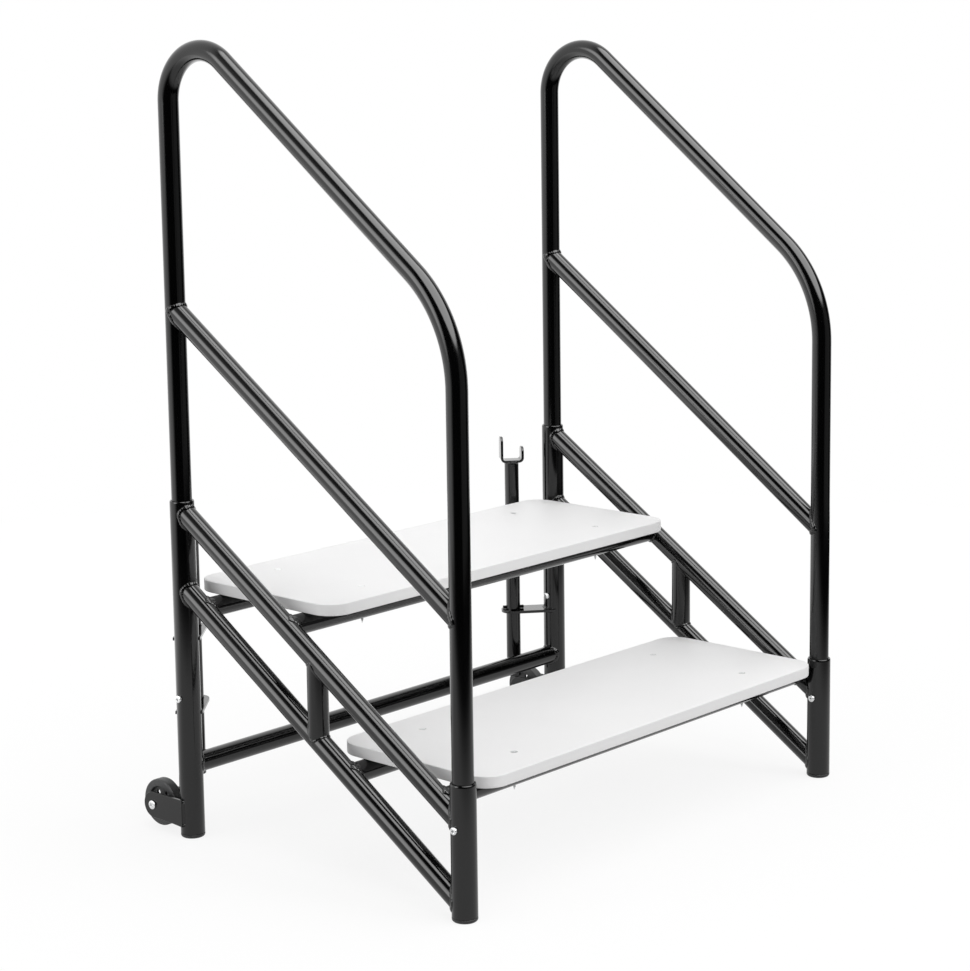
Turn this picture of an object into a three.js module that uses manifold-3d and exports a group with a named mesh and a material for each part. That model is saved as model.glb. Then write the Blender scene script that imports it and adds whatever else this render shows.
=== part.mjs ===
// Two-step stage stairs: a welded tube frame with two treads, plug-in handrails,
// transport wheels behind the rear legs and sliding hooks that hang on a stage.
// Units are millimetres. X points right, Y to the stage behind the stairs, Z up.
// The origin is on the floor, in the middle of the stairs' width and depth.

import * as THREE from 'three';
import { mergeVertices } from 'three/addons/utils/BufferGeometryUtils.js';
import Module from 'manifold-3d';

const wasm = await Module();
wasm.setup();

// Layout of the frame
const overallWidth = 914.4;
const stepRise = 203.2;
const stepRun = 308;
const supportPitch = 184;
const firstSupport = 43;
const lastSupport = 43.7;
const frontLegAboveBrace = 62.5;
const rearLegAboveBrace = 14.6;
const crossTubeHeight = 115.9;

// Tubes
const tubeDiameter = 31.75;
const tubeWall = 2;
const legWall = 2.775;
const legTaperLength = 5;
const legTaperDepth = 1.2;

// Treads
const treadThickness = 18;
const treadEndGap = 12.7;
const treadNose = 62.6;
const treadTail = 58.2;
const treadCornerRadius = 38;
const treadEdgeBreak = 1.5;
const treadScrewInset = 125.6;

// Handrails: heights of the corners where the straight runs would meet, and how far these
// heights lie above that on the left side and below it on the right one
const railFrontCorner = 844.5;
const railRearCorner = 1289.8;
const railFrontBend = 200;
const railRearBend = 76;
const midRailFront = 428.2;
const midRailRear = 836;
const railFrontUneven = 14.5;
const railRearUneven = 7.3;
const midRailFrontUneven = 6.9;
const midRailRearUneven = -4.4;
const railFrontScrew = 137.5;
const railRearScrew = 225.5;
const railEndBelowScrew = 26;

// Screws that hold the handrails and the treads
const railScrewDiameter = 5.5;
const railScrewHead = 12;
const railScrewHeadHeight = 4;
const railScrewHeadEdge = 1.4;
const railScrewLength = 24;
const treadScrewDiameter = 4.2;
const treadScrewHead = 8.8;
const treadScrewHeadDepth = 2.6;
const treadScrewPoint = 5;
const treadScrewBelow = 8;

// Foot caps
const footHeight = 6;
const footEdgeRadius = 4;
const footPlugLength = 18;

// Transport wheels
const wheelDiameter = 75;
const wheelWidth = 17.5;
const wheelEdgeRadius = 2.5;
const wheelRimDepth = 11.5;
const wheelWeb = 4.5;
const wheelHubDiameter = 18;
const wheelHoleDiameter = 8;
const wheelHoleCircle = 34;
const wheelHoleCount = 5;
const wheelHoleStart = 37;
const wheelFloorGap = 4.9;
const wheelLegGap = 10.45;
const wheelPlateThickness = 4;
const wheelPlateEndRadius = 20.5;
const wheelPlateFlare = 2.9;
const wheelPlateLap = 1;
const axleDiameter = 8;
const axleHead = 15;
const axleHeadHeight = 3.5;
const axleHeadEdge = 1.5;
const axleNutFlats = 13;
const axleNutHeight = 6.5;
const axleTip = 2;

// Stage hooks: a post that slides in two guide plates, with a fork on top
const postDiameter = 25.4;
const postWall = 2;
const postInward = 57;
const postBack = 48.6;
const postBottom = 79;
const postTop = 471.6;
const guideThickness = 5;
const guideMargin = 8.8;
const lowerGuideHeight = 197;
const guideSpacing = 118;
const stopPinDiameter = 6;
const stopPinLength = 38;
const forkOpening = 32.6;
const forkBar = 4.5;
const forkBarWidth = 26;
const forkBend = 4;
const forkTipRadius = 10;
const forkLongArm = 46.4;
const forkShortArm = 27.8;

// Clearances: between pieces that rest on or are welded to each other, round a screw,
// beside a sliding or turning piece, between a handrail and its leg; and the cuts' overrun
const seatGap = 0.3;
const screwFit = 0.3;
const runningFit = 0.5;
const railFit = 0.4;
const overrun = 5;

// Facets round a leg, a tube, its bore, a small piece, a hole, a wheel, a corner and a bend
const legSides = 20;
const tubeSides = 20;
const boreSides = 10;
const smallSides = 10;
const holeSides = 8;
const wheelSides = 28;
const cornerSteps = 4;
const frontBendSteps = 6;
const rearBendSteps = 10;

// Sizes that follow
const tubeRadius = tubeDiameter / 2;
const legBore = tubeRadius + railFit;
const legRadius = legBore + legWall;
const sideX = overallWidth / 2 - legRadius;
const rearY = firstSupport + stepRun + supportPitch + lastSupport;
const slope = stepRise / stepRun;
const lowerSupportHeight = stepRise - treadThickness - seatGap - tubeRadius;
const treadLength = 2 * (sideX - legRadius - treadEndGap);
const treadDepth = treadNose + supportPitch + treadTail;
const wheelRadius = wheelDiameter / 2;
const wheelY = rearY + legRadius + wheelLegGap + wheelRadius;
const wheelZ = wheelFloorGap + wheelRadius;
const wheelPlateInner = legRadius + seatGap;
const wheelPlateOuter = wheelPlateInner + wheelPlateThickness;
const postRadius = postDiameter / 2;
const postReach = Math.hypot(postInward, postBack);

// Heights of the two parallel braces of a side, at a distance behind the front leg
const upperBraceHeight = (y) => lowerSupportHeight + (y - firstSupport) * slope;
const lowerBraceHeight = (y) => upperBraceHeight(y - supportPitch);
const frontLegTop = upperBraceHeight(0) + frontLegAboveBrace;
const rearLegTop = upperBraceHeight(rearY) + rearLegAboveBrace;

const glossBlack = new THREE.MeshStandardMaterial({ color: '#17181a', roughness: 0.25, metalness: 0.3 });
const wheelBlack = new THREE.MeshStandardMaterial({ color: '#2e3031', roughness: 0.6, metalness: 0 });
const capBlack = new THREE.MeshStandardMaterial({ color: '#1d1e1f', roughness: 0.5, metalness: 0 });
const paleBoard = new THREE.MeshStandardMaterial({ color: '#dfe0e1', roughness: 0.55, metalness: 0 });
const brightZinc = new THREE.MeshStandardMaterial({ color: '#c8cacc', roughness: 0.3, metalness: 1 });

const vector = (x, y, z) => new THREE.Vector3(x, y, z);
const sides = [['left', -1], ['right', 1]];
const stairs = new THREE.Group();

// A piece of the stairs, placed in its own group
function piece(name, geometry, material, parent = stairs) {
  const mesh = new THREE.Mesh(geometry, material);
  mesh.name = name;
  parent.add(mesh);
  return mesh;
}

// A closed geometry as a solid that can be joined and cut
function solidOf(geometry) {
  geometry.deleteAttribute('normal');
  geometry.deleteAttribute('uv');
  const merged = mergeVertices(geometry);
  const corners = Array.from(merged.index.array);
  const triangles = [];
  for (let i = 0; i < corners.length; i += 3) {
    const [a, b, c] = corners.slice(i, i + 3);
    if (a !== b && b !== c && c !== a) {
      triangles.push(a, b, c);
    }
  }
  return new wasm.Manifold(new wasm.Mesh({
    numProp: 3,
    vertProperties: merged.getAttribute('position').array,
    triVerts: Uint32Array.from(triangles),
  }));
}

function geometryOf(solid) {
  const mesh = solid.getMesh();
  const geometry = new THREE.BufferGeometry();
  geometry.setAttribute('position', new THREE.BufferAttribute(mesh.vertProperties, 3));
  geometry.setIndex(new THREE.BufferAttribute(mesh.triVerts, 1));
  geometry.computeVertexNormals();
  return geometry;
}

const cut = (body, ...tools) => geometryOf(
  tools.reduce((solid, tool) => solid.subtract(solidOf(tool)), solidOf(body)));
const join = (...bodies) => geometryOf(
  bodies.map(solidOf).reduce((solid, body) => solid.add(body)));
const common = (body, blank) => geometryOf(solidOf(body).intersect(solidOf(blank)));

// A solid of revolution about Z, from points of radius and height
function turned(profile, facets) {
  const points = profile.map(([radius, height]) => new THREE.Vector2(radius, height));
  return new THREE.LatheGeometry(points, facets).rotateX(Math.PI / 2);
}

// A round bar from one point to another, with its corners on the radius
function rod(start, end, radius, facets) {
  const run = end.clone().sub(start);
  const turn = new THREE.Quaternion().setFromUnitVectors(vector(0, 1, 0), run.clone().normalize());
  const middle = start.clone().lerp(end, 0.5);
  return new THREE.CylinderGeometry(radius, radius, run.length(), facets)
    .applyQuaternion(turn)
    .translate(middle.x, middle.y, middle.z);
}

// A round cut whose flats touch the radius, so that what fits the radius passes
const drill = (start, end, radius, facets) => rod(start, end, radius / Math.cos(Math.PI / facets), facets);

// An open tube from one point to another
function tube(start, end) {
  const reach = end.clone().sub(start).setLength(overrun);
  const bore = rod(start.clone().sub(reach), end.clone().add(reach), tubeRadius - tubeWall, boreSides);
  return cut(rod(start, end, tubeRadius, tubeSides), bore);
}

// The cut that copes a tube to the round side of the leg or tube that it is welded to
const cope = (start, end, radius, facets) => drill(start, end, radius + seatGap, facets);
const copeToLeg = (x, y) => cope(vector(x, y, -overrun), vector(x, y, railRearCorner), legRadius, legSides);
const copeToRail = (x, y) => cope(vector(x, y, 0), vector(x, y, railRearCorner), tubeRadius, tubeSides);
const copeToBrace = (x, height) => cope(
  vector(x, 0, height(0)), vector(x, rearY, height(rearY)), tubeRadius, tubeSides);

// A leg: an open tube with a drawn-in mouth, drilled on its left for the handrail screw
function leg(top, screwHeight) {
  const bottom = footHeight + seatGap;
  const bore = legBore / Math.cos(Math.PI / legSides);
  const body = turned([
    [bore, bottom],
    [legRadius, bottom],
    [legRadius, top - legTaperLength],
    [legRadius - legTaperDepth, top],
    [bore, top],
    [bore, bottom],
  ], legSides);
  const hole = drill(
    vector(-legRadius - overrun, 0, screwHeight), vector(0, 0, screwHeight),
    railScrewDiameter / 2 + screwFit, holeSides);
  return cut(body, hole);
}

// A foot cap: a round-edged sole under the tube and a plug in its bore
function footCap() {
  const edge = [];
  for (let i = 0; i <= cornerSteps; i += 1) {
    const angle = (i / cornerSteps) * Math.PI / 2;
    edge.push([
      legRadius - footEdgeRadius * (1 - Math.sin(angle)),
      footEdgeRadius * (1 - Math.cos(angle)),
    ]);
  }
  const plugRadius = legBore - seatGap;
  return turned([
    [0, 0],
    ...edge,
    [legRadius, footHeight],
    [plugRadius, footHeight],
    [plugRadius, footHeight + footPlugLength],
    [0, footHeight + footPlugLength],
  ], legSides);
}

// A rounded board, drilled and countersunk for its screws, with its top at zero
function tread() {
  const halfLength = treadLength / 2;
  const board = new THREE.Shape();
  const inset = treadCornerRadius;
  board.moveTo(halfLength, inset);
  board.absarc(halfLength - inset, treadDepth - inset, inset, 0, Math.PI / 2);
  board.absarc(inset - halfLength, treadDepth - inset, inset, Math.PI / 2, Math.PI);
  board.absarc(inset - halfLength, inset, inset, Math.PI, 1.5 * Math.PI);
  board.absarc(halfLength - inset, inset, inset, 1.5 * Math.PI, 2 * Math.PI);
  const body = new THREE.ExtrudeGeometry(board, {
    depth: treadThickness - 2 * treadEdgeBreak,
    bevelThickness: treadEdgeBreak,
    bevelSize: treadEdgeBreak,
    bevelOffset: -treadEdgeBreak,
    bevelSegments: 1,
    curveSegments: cornerSteps,
  }).translate(0, -treadNose, treadEdgeBreak - treadThickness);
  const mouth = treadScrewHead / 2 + screwFit;
  const holeProfile = [...treadScrewProfile(screwFit), [mouth, overrun], [0, overrun]];
  const holes = [];
  for (const x of [treadScrewInset - halfLength, halfLength - treadScrewInset]) {
    for (const y of [0, supportPitch]) {
      holes.push(turned(holeProfile, smallSides).translate(x, y, 0));
    }
  }
  return cut(body, ...holes);
}

// The side of a countersunk screw or of its hole, from the point up to the head's rim at zero
function treadScrewProfile(margin) {
  const shank = treadScrewDiameter / 2 + margin;
  const head = treadScrewHead / 2 + margin;
  const end = -(treadThickness + seatGap + tubeDiameter + treadScrewBelow);
  return [
    [0, end],
    [shank, end + treadScrewPoint],
    [shank, -treadScrewHeadDepth],
    [head, 0],
  ];
}

// The tubes that carry one tread: drilled through for the screws
function treadSupport(y, height, brace) {
  const bar = tube(vector(-sideX, y, height), vector(sideX, y, height));
  const tools = [copeToBrace(-sideX, brace), copeToBrace(sideX, brace)];
  for (const side of [-1, 1]) {
    const x = side * (treadLength / 2 - treadScrewInset);
    tools.push(drill(
      vector(x, y, height - tubeRadius - overrun), vector(x, y, height + tubeRadius + overrun),
      treadScrewDiameter / 2 + screwFit, holeSides));
  }
  return cut(bar, ...tools);
}

// The stations round a bend: points on the arc with the tube's direction there
function bend(corner, arriving, leaving, radius, steps) {
  const turn = arriving.angleTo(leaving);
  const start = corner.clone().addScaledVector(arriving, -radius * Math.tan(turn / 2));
  const inward = leaving.clone().addScaledVector(arriving, -Math.cos(turn)).normalize();
  const stations = [];
  for (let i = 0; i <= steps; i += 1) {
    const angle = turn * i / steps;
    stations.push({
      point: start.clone()
        .addScaledVector(arriving, radius * Math.sin(angle))
        .addScaledVector(inward, radius * (1 - Math.cos(angle))),
      direction: arriving.clone()
        .multiplyScalar(Math.cos(angle))
        .addScaledVector(inward, Math.sin(angle)),
    });
  }
  return stations;
}

// A tube's centre line, known at its stations, so straight runs stay one facet long
class StationPath extends THREE.Curve {
  constructor(stations) {
    super();
    this.stations = stations;
  }

  at(share) {
    return this.stations[Math.round(share * (this.stations.length - 1))];
  }

  getPointAt(share) {
    return this.at(share).point.clone();
  }

  getTangentAt(share) {
    return this.at(share).direction.clone();
  }
}

// A handrail: one tube up from the front leg, back along the slope and down the rear leg
function handrail(side) {
  const up = vector(0, 0, 1);
  const down = vector(0, 0, -1);
  const frontCorner = vector(0, 0, railFrontCorner - side * railFrontUneven);
  const rearCorner = vector(0, rearY, railRearCorner - side * railRearUneven);
  const along = rearCorner.clone().sub(frontCorner).normalize();
  const stations = [
    { point: vector(0, 0, railFrontScrew - railEndBelowScrew), direction: up },
    ...bend(frontCorner, up, along, railFrontBend, frontBendSteps),
    ...bend(rearCorner, along, down, railRearBend, rearBendSteps),
    { point: vector(0, rearY, railRearScrew - railEndBelowScrew), direction: down },
  ];
  const section = new THREE.Shape().absarc(0, 0, tubeRadius, 0, 2 * Math.PI);
  const bore = new THREE.Path().absarc(0, 0, tubeRadius - tubeWall, 0, 2 * Math.PI);
  section.holes.push(bore);
  const body = new THREE.ExtrudeGeometry(section, {
    steps: stations.length - 1,
    curveSegments: boreSides / 2,
    extrudePath: new StationPath(stations),
  });
  const hole = (y, height) => drill(
    vector(-tubeRadius - overrun, y, height), vector(0, y, height),
    railScrewDiameter / 2 + screwFit, holeSides);
  return cut(body, hole(0, railFrontScrew), hole(rearY, railRearScrew));
}

// A pan-head screw along Z, with its head's seat at zero and its shank below
function railScrew() {
  const head = railScrewHead / 2;
  const shank = railScrewDiameter / 2;
  return turned([
    [0, -railScrewLength],
    [shank, -railScrewLength],
    [shank, 0],
    [head, 0],
    [head, railScrewHeadHeight - railScrewHeadEdge],
    [head - railScrewHeadEdge, railScrewHeadHeight],
    [0, railScrewHeadHeight],
  ], smallSides);
}

// A wheel about Z: rim, thin web with round holes, and a hub that fills its fork
function wheel() {
  const rim = wheelRadius - wheelRimDepth;
  const hub = wheelHubDiameter / 2;
  const bore = (axleDiameter / 2 + runningFit) / Math.cos(Math.PI / wheelSides);
  const hubEnd = wheelPlateInner - runningFit;
  const halfWeb = wheelWeb / 2;
  const halfWidth = wheelWidth / 2;
  const upper = [
    [bore, hubEnd],
    [hub, hubEnd],
    [hub, halfWeb],
    [rim, halfWeb],
    [rim, halfWidth],
    [wheelRadius - wheelEdgeRadius, halfWidth],
    [wheelRadius, halfWidth - wheelEdgeRadius],
  ];
  const lower = upper.map(([radius, height]) => [radius, -height]);
  const body = turned([...lower, ...upper.reverse(), lower[0]], wheelSides);
  const holes = [];
  for (let i = 0; i < wheelHoleCount; i += 1) {
    const angle = THREE.MathUtils.degToRad(wheelHoleStart) + 2 * Math.PI * i / wheelHoleCount;
    const x = Math.cos(angle) * wheelHoleCircle / 2;
    const y = Math.sin(angle) * wheelHoleCircle / 2;
    holes.push(drill(
      vector(x, y, -halfWeb - overrun), vector(x, y, halfWeb + overrun),
      wheelHoleDiameter / 2, holeSides));
  }
  return cut(body, ...holes);
}

// A wheel plate: round end about the axle, foot welded along the leg, drilled for the axle
function wheelPlate() {
  const end = wheelPlateEndRadius;
  const foot = rearY - wheelY - wheelPlateLap;
  const outline = new THREE.Shape();
  outline.moveTo(foot, end);
  outline.lineTo(foot, -end - wheelPlateFlare);
  outline.quadraticCurveTo(foot / 2, -end, 0, -end);
  outline.absarc(0, 0, end, -Math.PI / 2, Math.PI / 2);
  outline.lineTo(foot, end);
  const hole = new THREE.Path();
  hole.absarc(0, 0, axleDiameter / 2 + screwFit, 0, 2 * Math.PI);
  outline.holes.push(hole);
  return new THREE.ExtrudeGeometry(outline, {
    depth: wheelPlateThickness,
    bevelEnabled: false,
    curveSegments: smallSides / 2,
  }).rotateY(Math.PI / 2).rotateX(Math.PI / 2);
}

// The axle bolt about Z, with its middle at zero and its head outward
function axleBolt() {
  const seat = wheelPlateOuter + seatGap;
  const head = axleHead / 2;
  const shank = axleDiameter / 2;
  const end = -(seat + axleNutHeight + axleTip);
  return turned([
    [0, end],
    [shank, end],
    [shank, seat],
    [head, seat],
    [head, seat + axleHeadHeight - axleHeadEdge],
    [head - axleHeadEdge, seat + axleHeadHeight],
    [0, seat + axleHeadHeight],
  ], smallSides);
}

// The hexagon nut on the axle bolt's inner end
function axleNut() {
  const top = -(wheelPlateOuter + seatGap);
  const bottom = top - axleNutHeight;
  const corner = axleNutFlats / 2 / Math.cos(Math.PI / 6);
  return cut(
    rod(vector(0, 0, bottom), vector(0, 0, top), corner, 6),
    drill(
      vector(0, 0, bottom - overrun), vector(0, 0, top + overrun),
      axleDiameter / 2 + screwFit, smallSides));
}

// A hook's guide plate about the leg axis: it hugs the leg and the post slides in it
function guidePlate() {
  const end = postRadius + guideMargin;
  const outline = new THREE.Shape();
  outline.moveTo(0, -end);
  outline.lineTo(postReach, -end);
  outline.absarc(postReach, 0, end, -Math.PI / 2, Math.PI / 2);
  outline.lineTo(0, end);
  const plate = new THREE.ExtrudeGeometry(outline, {
    depth: guideThickness,
    bevelEnabled: false,
    curveSegments: smallSides / 2,
  });
  const above = guideThickness + overrun;
  return cut(
    plate,
    drill(vector(0, 0, -overrun), vector(0, 0, above), legRadius + seatGap, legSides),
    drill(
      vector(postReach, 0, -overrun), vector(postReach, 0, above),
      postRadius + runningFit, tubeSides));
}

// The post of a hook, drilled for its stop pin
function hookPost(pinHeight) {
  const bore = postRadius - postWall;
  const body = turned([
    [bore, postBottom],
    [postRadius, postBottom],
    [postRadius, postTop],
    [bore, postTop],
    [bore, postBottom],
  ], tubeSides);
  const hole = drill(
    vector(-postDiameter, 0, pinHeight), vector(postDiameter, 0, pinHeight),
    stopPinDiameter / 2 + screwFit, holeSides);
  return cut(body, hole);
}

// The fork of a hook: a flat bar bent to a U, its long arm away from the leg
function hookFork() {
  const outer = forkOpening / 2 + forkBar;
  const inner = forkOpening / 2;
  const outerBend = forkBend + forkBar;
  const profile = new THREE.Shape();
  profile.moveTo(-outer, forkLongArm);
  profile.absarc(-outer + outerBend, outerBend, outerBend, Math.PI, 1.5 * Math.PI);
  profile.absarc(outer - outerBend, outerBend, outerBend, 1.5 * Math.PI, 2 * Math.PI);
  profile.lineTo(outer, forkLongArm);
  profile.lineTo(inner, forkLongArm);
  profile.absarc(inner - forkBend, outerBend, forkBend, 0, -Math.PI / 2, true);
  profile.absarc(forkBend - inner, outerBend, forkBend, -Math.PI / 2, -Math.PI, true);
  profile.lineTo(-inner, forkLongArm);
  const bar = new THREE.ExtrudeGeometry(profile, {
    depth: forkBarWidth,
    bevelEnabled: false,
    curveSegments: cornerSteps / 2,
  }).translate(0, 0, -forkBarWidth / 2).rotateX(Math.PI / 2);
  const tongue = (height) => {
    const side = forkBarWidth / 2;
    const tip = new THREE.Shape();
    tip.moveTo(-side, 0);
    tip.lineTo(side, 0);
    tip.absarc(side - forkTipRadius, height - forkTipRadius, forkTipRadius, 0, Math.PI / 2);
    tip.absarc(forkTipRadius - side, height - forkTipRadius, forkTipRadius, Math.PI / 2, Math.PI);
    return new THREE.ExtrudeGeometry(tip, {
      depth: outer,
      bevelEnabled: false,
      curveSegments: cornerSteps,
    }).rotateX(Math.PI / 2).rotateZ(Math.PI / 2);
  };
  const longTongue = tongue(forkLongArm);
  const shortTongue = tongue(forkShortArm).rotateZ(Math.PI);
  return common(bar, join(longTongue, shortTongue));
}

// Legs and their foot caps
for (const [name, side] of sides) {
  for (const [end, y, top, screwHeight] of [
    ['front', 0, frontLegTop, railFrontScrew],
    ['rear', rearY, rearLegTop, railRearScrew],
  ]) {
    piece(`${end}_leg_${name}`, leg(top, screwHeight), glossBlack).position.set(side * sideX, y, 0);
    piece(`foot_cap_${end}_${name}`, footCap(), capBlack).position.set(side * sideX, y, 0);
    const screw = piece(`rail_screw_${end}_${name}`, railScrew(), brightZinc);
    screw.position.set(side * sideX - legRadius - seatGap, y, screwHeight);
    screw.rotation.y = -Math.PI / 2;
  }
}

// Side braces, the strut between them and the rear cross tube
const strutY = firstSupport + (supportPitch + stepRun) / 2;
for (const [name, side] of sides) {
  const x = side * sideX;
  for (const [level, height] of [['upper', upperBraceHeight], ['lower', lowerBraceHeight]]) {
    const brace = tube(vector(x, 0, height(0)), vector(x, rearY, height(rearY)));
    piece(`${level}_brace_${name}`, cut(brace, copeToLeg(x, 0), copeToLeg(x, rearY)), glossBlack);
  }
  const strut = tube(
    vector(x, strutY, lowerBraceHeight(strutY)), vector(x, strutY, upperBraceHeight(strutY)));
  piece(
    `strut_${name}`,
    cut(strut, copeToBrace(x, lowerBraceHeight), copeToBrace(x, upperBraceHeight)),
    glossBlack);
}
const crossTube = tube(vector(-sideX, rearY, crossTubeHeight), vector(sideX, rearY, crossTubeHeight));
piece('rear_cross_tube', cut(crossTube, copeToLeg(-sideX, rearY), copeToLeg(sideX, rearY)), glossBlack);

// Treads on their supports, each held down by four screws
for (const [level, step] of [['lower', 0], ['upper', 1]]) {
  const frontY = firstSupport + step * stepRun;
  const height = lowerSupportHeight + step * stepRise;
  const top = (step + 1) * stepRise;
  piece(`${level}_front_support`, treadSupport(frontY, height, upperBraceHeight), glossBlack);
  piece(`${level}_rear_support`, treadSupport(frontY + supportPitch, height, lowerBraceHeight), glossBlack);
  piece(`${level}_tread`, tread(), paleBoard).position.set(0, frontY, top);
  for (const [name, side] of sides) {
    for (const [end, y] of [['front', frontY], ['rear', frontY + supportPitch]]) {
      const screw = piece(
        `${level}_tread_screw_${end}_${name}`,
        turned([...treadScrewProfile(0), [0, 0]], smallSides),
        brightZinc);
      screw.position.set(side * (treadLength / 2 - treadScrewInset), y, top);
    }
  }
}

// Handrails with their mid rails
for (const [name, side] of sides) {
  const x = side * sideX;
  piece(`handrail_${name}`, handrail(side), glossBlack).position.set(x, 0, 0);
  const midRail = tube(
    vector(x, 0, midRailFront - side * midRailFrontUneven),
    vector(x, rearY, midRailRear - side * midRailRearUneven));
  piece(`mid_rail_${name}`, cut(midRail, copeToRail(x, 0), copeToRail(x, rearY)), glossBlack);
}

// Transport wheels between their plates
for (const [name, side] of sides) {
  const axle = new THREE.Group();
  axle.position.set(side * sideX, wheelY, wheelZ);
  stairs.add(axle);
  piece(`wheel_${name}`, wheel(), wheelBlack, axle).rotation.y = side * Math.PI / 2;
  piece(`axle_bolt_${name}`, axleBolt(), brightZinc, axle).rotation.y = side * Math.PI / 2;
  piece(`axle_nut_${name}`, axleNut(), brightZinc, axle).rotation.y = side * Math.PI / 2;
  const low = -wheelPlateOuter;
  const high = wheelPlateInner;
  const [inner, outer] = side > 0 ? [low, high] : [high, low];
  piece(`wheel_plate_inner_${name}`, wheelPlate(), glossBlack, axle).position.x = inner;
  piece(`wheel_plate_outer_${name}`, wheelPlate(), glossBlack, axle).position.x = outer;
}

// Stage hooks, each built about its leg with X pointing from the leg to the post
for (const [name, side] of sides) {
  const hook = new THREE.Group();
  hook.position.set(side * sideX, rearY, 0);
  hook.rotation.z = Math.atan2(postBack, -side * postInward);
  stairs.add(hook);
  const pinHeight = lowerGuideHeight + guideThickness + seatGap + stopPinDiameter / 2;
  piece(`lower_guide_${name}`, guidePlate(), glossBlack, hook).position.z = lowerGuideHeight;
  piece(`upper_guide_${name}`, guidePlate(), glossBlack, hook).position.z = lowerGuideHeight + guideSpacing;
  piece(`hook_post_${name}`, hookPost(pinHeight), glossBlack, hook).position.x = postReach;
  const pin = rod(
    vector(-stopPinLength / 2, 0, pinHeight), vector(stopPinLength / 2, 0, pinHeight),
    stopPinDiameter / 2, smallSides);
  piece(`stop_pin_${name}`, pin, glossBlack, hook).position.x = postReach;
  const fork = piece(`hook_fork_${name}`, hookFork(), glossBlack, hook);
  fork.position.set(postReach, 0, postTop + seatGap);
  fork.rotation.z = side < 0 ? Math.PI : 0;
}

// The whole stairs, moved so that the origin lies midway between front and rear
stairs.updateMatrixWorld(true);
const box = new THREE.Box3().setFromObject(stairs, true);
stairs.position.y = -(box.min.y + box.max.y) / 2;

export default stairs;
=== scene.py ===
from collections import namedtuple
from math import atan2, ceil, cos, pi, radians, sin, sqrt, tan

import bmesh
import bpy
from mathutils import Matrix, Vector
from mathutils.geometry import tessellate_polygon


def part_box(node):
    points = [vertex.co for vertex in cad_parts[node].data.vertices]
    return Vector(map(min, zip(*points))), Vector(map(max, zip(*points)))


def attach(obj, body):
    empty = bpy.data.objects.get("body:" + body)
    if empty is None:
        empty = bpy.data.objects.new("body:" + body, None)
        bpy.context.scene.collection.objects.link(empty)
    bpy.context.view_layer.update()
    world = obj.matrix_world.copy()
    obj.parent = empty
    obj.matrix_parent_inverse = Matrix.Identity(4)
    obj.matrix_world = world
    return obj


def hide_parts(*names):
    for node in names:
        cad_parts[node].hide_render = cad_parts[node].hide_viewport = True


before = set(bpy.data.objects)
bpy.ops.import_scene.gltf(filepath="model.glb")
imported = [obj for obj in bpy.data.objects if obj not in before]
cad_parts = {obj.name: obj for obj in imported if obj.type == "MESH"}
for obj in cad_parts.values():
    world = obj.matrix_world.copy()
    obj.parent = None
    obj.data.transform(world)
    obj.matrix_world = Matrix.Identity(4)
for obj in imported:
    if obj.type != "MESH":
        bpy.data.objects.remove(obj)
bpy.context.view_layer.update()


# Camera: a long lens at chest height, off the stairs' front left corner. Its place, its turn and
# the middle of its picture come from a pinhole camera fitted to the straight tubes.
image_width, image_height = 970, 971
focal_length_px = 2511.5
picture_middle_px = (503.1, 423.7)
camera_place = Vector((-2.9335, -2.6409, 1.2860))
camera_yaw, camera_pitch, camera_roll = radians(48.279), radians(9.547), radians(0.723)


def new_object(name, data):
    """An object in the scene, for a camera, a mesh or a light."""
    made = bpy.data.objects.new(name, data)
    bpy.context.scene.collection.objects.link(made)
    return made


ahead = Vector((
    sin(camera_yaw) * cos(camera_pitch), cos(camera_yaw) * cos(camera_pitch), -sin(camera_pitch)))
level = Vector((cos(camera_yaw), -sin(camera_yaw), 0))
steep = ahead.cross(level)
rightward = cos(camera_roll) * level + sin(camera_roll) * steep
upward = sin(camera_roll) * level - cos(camera_roll) * steep

lens = bpy.data.cameras.new("camera")
lens.sensor_fit = "HORIZONTAL"
lens.lens = lens.sensor_width * focal_length_px / image_width
lens.shift_x = (image_width / 2 - picture_middle_px[0]) / image_width
lens.shift_y = (picture_middle_px[1] - image_height / 2) / image_width
camera = new_object("camera", lens)
camera.matrix_world = (
    Matrix.Translation(camera_place) @ Matrix((rightward, upward, -ahead)).transposed().to_4x4())
bpy.context.scene.camera = camera


# Legs: four lengths of 1.5 inch steel tube with a thick wall, square at the foot and drawn in a
# little at the mouth, where the handrail drops in. Powder coated gloss black after welding.
sides = {"left": -1, "right": 1}
leg_wall = 0.002775
mouth_length = 0.0035
mouth_depth = 0.0012
mouth_bevel = 0.0005
cut_edge = 0.0004
coat_black, coat_greyed = (0.0008, 0.0008, 0.0009, 1), (0.0040, 0.0040, 0.0041, 1)
orange_peel = 0.000012


class Wire:
    """A socket in a finish's nodes. + - and * on it add Math nodes, and node() adds any other."""

    def __init__(self, tree, socket=None):
        self.tree, self.socket = tree, socket

    def node(self, kind, settings, inputs, output=0):
        made = self.tree.nodes.new("ShaderNode" + kind)
        for name, value in settings.items():
            setattr(made, name, value)
        for name, value in inputs.items():
            if isinstance(value, Wire):
                self.tree.links.new(value.socket, made.inputs[name])
            else:
                made.inputs[name].default_value = value
        return Wire(self.tree, made.outputs[output] if made.outputs else None)

    def math(self, operation, first, second):
        return self.node("Math", {"operation": operation}, {0: first, 1: second})

    def __add__(self, other):
        return self.math("ADD", self, other)

    def __radd__(self, other):
        return self.math("ADD", other, self)

    def __sub__(self, other):
        return self.math("SUBTRACT", self, other)

    def __rsub__(self, other):
        return self.math("SUBTRACT", other, self)

    def __mul__(self, other):
        return self.math("MULTIPLY", self, other)

    def __rmul__(self, other):
        return self.math("MULTIPLY", other, self)


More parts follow.
